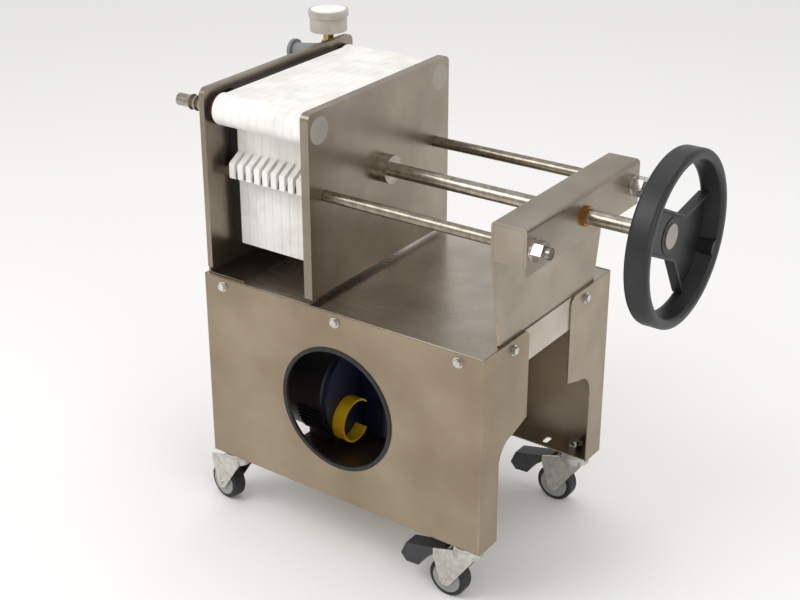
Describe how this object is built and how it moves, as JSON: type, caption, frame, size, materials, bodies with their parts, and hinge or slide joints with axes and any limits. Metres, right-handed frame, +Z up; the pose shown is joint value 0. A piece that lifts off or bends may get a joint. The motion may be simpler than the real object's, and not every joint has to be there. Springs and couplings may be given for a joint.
{
  "type": "plate filter press",
  "caption": "Plate filter press on a wheeled stainless stand: a stack of white filter plates pressed by a screw with a handwheel.",
  "frame": {"origin": "on the floor, at the middle of the machine's length and width", "axes": "+X from the head plate to the handwheel, +Z up, +Y to the far side"},
  "size_m": [0.6436, 0.3043, 0.623],
  "materials": {
    "stainless": "brushed stainless sheet",
    "black_rubber": "matt rubber",
    "black_plastic": "moulded, matt",
    "white_polypropylene": "moulded, matt",
    "plug_plastic": "moulded, matt",
    "bronze": "turned bronze",
    "brass": "machined brass",
    "zinc": "bright zinc plate",
    "grey_plastic": "moulded, matt",
    "pedal_plastic": "moulded, matt",
    "tyre_rubber": "rubber tread",
    "pump_blue": "painted, dark blue",
    "seal_rubber": "moulded rubber, red-brown",
    "yellow_plastic": "moulded, glossy"
  },
  "bodies": {
    "stand": {"near_side_panel": "stainless", "far_side_panel": "stainless", "top_tray": "stainless", "porthole_trim": "black_rubber", "head_plate": "stainless", "head_bracket": "stainless", "backing_plate": "black_plastic", "port_seals": "seal_rubber", "screw_bush": "bronze", "yoke": "stainless", "yoke_end_caps": "stainless", "tie_rods": "stainless", "tie_rod_nuts": "stainless", "outlet_barb": "stainless", "inlet_fitting": "grey_plastic", "gauge_stem": "brass", "gauge_case": "black_plastic", "pump_base_plate": "stainless", "pump_motor": "black_plastic", "pump_head": "pump_blue", "yellow_band": "yellow_plastic", "motor_foot": "black_plastic", "caster_studs": "zinc"},
    "follower": {"follower_plate": "stainless", "port_plugs": "plug_plastic", "thrust_boss": "stainless"},
    "screw": {"screw_spindle": "stainless", "handwheel": "black_plastic", "hub_nut": "zinc", "hub_cap": "plug_plastic"},
    "plate_01": {"filter_plate_01": "white_polypropylene"},
    "plate_02": {"filter_plate_02": "white_polypropylene"},
    "plate_03": {"filter_plate_03": "white_polypropylene"},
    "plate_04": {"filter_plate_04": "white_polypropylene"},
    "plate_05": {"filter_plate_05": "white_polypropylene"},
    "plate_06": {"filter_plate_06": "white_polypropylene"},
    "plate_07": {"filter_plate_07": "white_polypropylene"},
    "plate_08": {"filter_plate_08": "white_polypropylene"},
    "plate_09": {"filter_plate_09": "white_polypropylene"},
    "plate_10": {"filter_plate_10": "white_polypropylene"},
    "fork_near_head_body": {"fork_near_head": "zinc"},
    "wheel_near_head_body": {"wheel_near_head": "grey_plastic", "tyre_near_head": "tyre_rubber"},
    "fork_far_head_body": {"fork_far_head": "zinc"},
    "wheel_far_head_body": {"wheel_far_head": "grey_plastic", "tyre_far_head": "tyre_rubber"},
    "fork_near_front_body": {"fork_near_front": "zinc"},
    "wheel_near_front_body": {"wheel_near_front": "grey_plastic", "tyre_near_front": "tyre_rubber"},
    "pedal_near_front_body": {"pedal_near_front": "pedal_plastic"},
    "fork_far_front_body": {"fork_far_front": "zinc"},
    "wheel_far_front_body": {"wheel_far_front": "grey_plastic", "tyre_far_front": "tyre_rubber"},
    "pedal_far_front_body": {"pedal_far_front": "pedal_plastic"}
  },
  "joints": [
    {"name": "follower_slide", "type": "slide", "parent": "stand", "child": "follower", "axis": [1, 0, 0], "range_m": [0, 0.2]},
    {"name": "screw_turn", "type": "hinge", "parent": "follower", "child": "screw", "pos_m": [0.0452, 0, 0.4749], "axis": [1, 0, 0], "range_deg": [0, 18000]},
    {"name": "plate_01_slide", "type": "slide", "parent": "stand", "child": "plate_01", "axis": [1, 0, 0], "range_m": [0, 0.01818]},
    {"name": "plate_02_slide", "type": "slide", "parent": "stand", "child": "plate_02", "axis": [1, 0, 0], "range_m": [0, 0.03636]},
    {"name": "plate_03_slide", "type": "slide", "parent": "stand", "child": "plate_03", "axis": [1, 0, 0], "range_m": [0, 0.05455]},
    {"name": "plate_04_slide", "type": "slide", "parent": "stand", "child": "plate_04", "axis": [1, 0, 0], "range_m": [0, 0.07273]},
    {"name": "plate_05_slide", "type": "slide", "parent": "stand", "child": "plate_05", "axis": [1, 0, 0], "range_m": [0, 0.09091]},
    {"name": "plate_06_slide", "type": "slide", "parent": "stand", "child": "plate_06", "axis": [1, 0, 0], "range_m": [0, 0.10909]},
    {"name": "plate_07_slide", "type": "slide", "parent": "stand", "child": "plate_07", "axis": [1, 0, 0], "range_m": [0, 0.12727]},
    {"name": "plate_08_slide", "type": "slide", "parent": "stand", "child": "plate_08", "axis": [1, 0, 0], "range_m": [0, 0.14546]},
    {"name": "plate_09_slide", "type": "slide", "parent": "stand", "child": "plate_09", "axis": [1, 0, 0], "range_m": [0, 0.16364]},
    {"name": "plate_10_slide", "type": "slide", "parent": "stand", "child": "plate_10", "axis": [1, 0, 0], "range_m": [0, 0.18182]},
    {"name": "near_head_swivel", "type": "hinge", "parent": "stand", "child": "fork_near_head_body", "pos_m": [-0.2283, -0.131, 0.077], "axis": [0, 0, 1], "continuous": true},
    {"name": "near_head_roll", "type": "hinge", "parent": "fork_near_head_body", "child": "wheel_near_head_body", "pos_m": [-0.25194, -0.12683, 0.025], "axis": [0.1736, 0.9848, 0], "continuous": true},
    {"name": "far_head_swivel", "type": "hinge", "parent": "stand", "child": "fork_far_head_body", "pos_m": [-0.2283, 0.131, 0.077], "axis": [0, 0, 1], "continuous": true},
    {"name": "far_head_roll", "type": "hinge", "parent": "fork_far_head_body", "child": "wheel_far_head_body", "pos_m": [-0.2523, 0.131, 0.025], "axis": [0, 1, 0], "continuous": true},
    {"name": "near_front_swivel", "type": "hinge", "parent": "stand", "child": "fork_near_front_body", "pos_m": [0.1337, -0.131, 0.077], "axis": [0, 0, 1], "continuous": true},
    {"name": "near_front_roll", "type": "hinge", "parent": "fork_near_front_body", "child": "wheel_near_front_body", "pos_m": [0.1097, -0.131, 0.025], "axis": [0, 1, 0], "continuous": true},
    {"name": "near_front_brake", "type": "hinge", "parent": "fork_near_front_body", "child": "pedal_near_front_body", "pos_m": [0.0977, -0.131, 0.06], "axis": [0, -1, 0], "range_deg": [0, 10]},
    {"name": "far_front_swivel", "type": "hinge", "parent": "stand", "child": "fork_far_front_body", "pos_m": [0.1337, 0.131, 0.077], "axis": [0, 0, 1], "continuous": true},
    {"name": "far_front_roll", "type": "hinge", "parent": "fork_far_front_body", "child": "wheel_far_front_body", "pos_m": [0.1097, 0.131, 0.025], "axis": [0, 1, 0], "continuous": true},
    {"name": "far_front_brake", "type": "hinge", "parent": "fork_far_front_body", "child": "pedal_far_front_body", "pos_m": [0.0977, 0.131, 0.06], "axis": [0, -1, 0], "range_deg": [0, 10]}
  ],
  "couplings": [
    {"joint": "follower_slide", "follows": "screw_turn", "m_per_rad": 0.00063662},
    {"joint": "plate_01_slide", "follows": "screw_turn", "m_per_rad": 0.000057875},
    {"joint": "plate_02_slide", "follows": "screw_turn", "m_per_rad": 0.00011575},
    {"joint": "plate_03_slide", "follows": "screw_turn", "m_per_rad": 0.00017362},
    {"joint": "plate_04_slide", "follows": "screw_turn", "m_per_rad": 0.0002315},
    {"joint": "plate_05_slide", "follows": "screw_turn", "m_per_rad": 0.00028937},
    {"joint": "plate_06_slide", "follows": "screw_turn", "m_per_rad": 0.00034725},
    {"joint": "plate_07_slide", "follows": "screw_turn", "m_per_rad": 0.00040512},
    {"joint": "plate_08_slide", "follows": "screw_turn", "m_per_rad": 0.000463},
    {"joint": "plate_09_slide", "follows": "screw_turn", "m_per_rad": 0.00052087},
    {"joint": "plate_10_slide", "follows": "screw_turn", "m_per_rad": 0.00057875}
  ]
}
